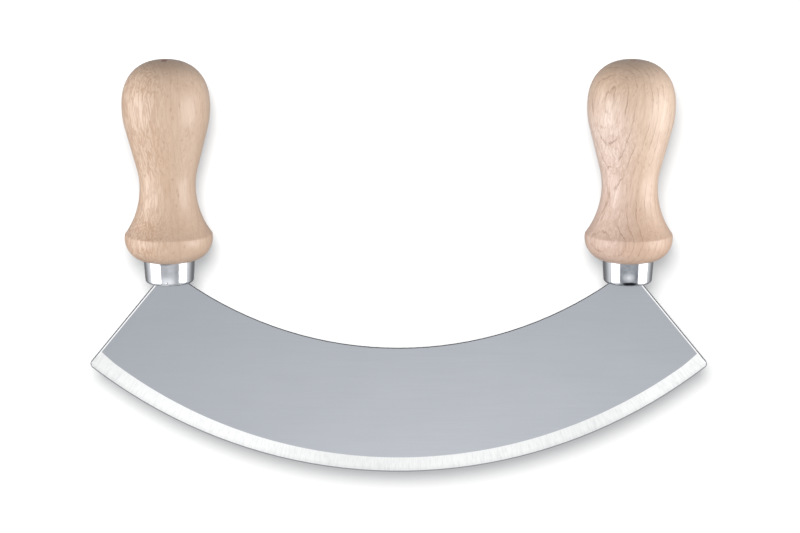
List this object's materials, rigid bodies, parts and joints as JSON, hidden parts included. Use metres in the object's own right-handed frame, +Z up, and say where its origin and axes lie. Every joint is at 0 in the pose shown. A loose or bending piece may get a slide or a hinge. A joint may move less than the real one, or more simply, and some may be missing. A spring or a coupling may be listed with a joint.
{
  "type": "mezzaluna",
  "caption": "Two-handled rocking knife: an arc-shaped steel blade ground along its curved edge, with upright turned wooden handles in polished metal ferrules.",
  "frame": {"origin": "lowest point of the cutting edge, half way between the handles, in the middle plane of the blade", "axes": "+Z up along the handles, +X along the blade's length to the right handle, -Y out of the blade's front face"},
  "size_m": [0.23, 0.0324, 0.1559],
  "materials": {
    "blade_steel": "satin sheet, bright ground bevel",
    "ferrule_metal": "polished",
    "beech": "turned and sanded, untreated",
    "resin": "set resin, hidden inside the handles"
  },
  "bodies": {
    "root": {"blade": "blade_steel", "left_ferrule": "ferrule_metal", "right_ferrule": "ferrule_metal", "left_handle": "beech", "right_handle": "beech", "left_tang_bedding": "resin", "right_tang_bedding": "resin"}
  },
  "joints": []
}
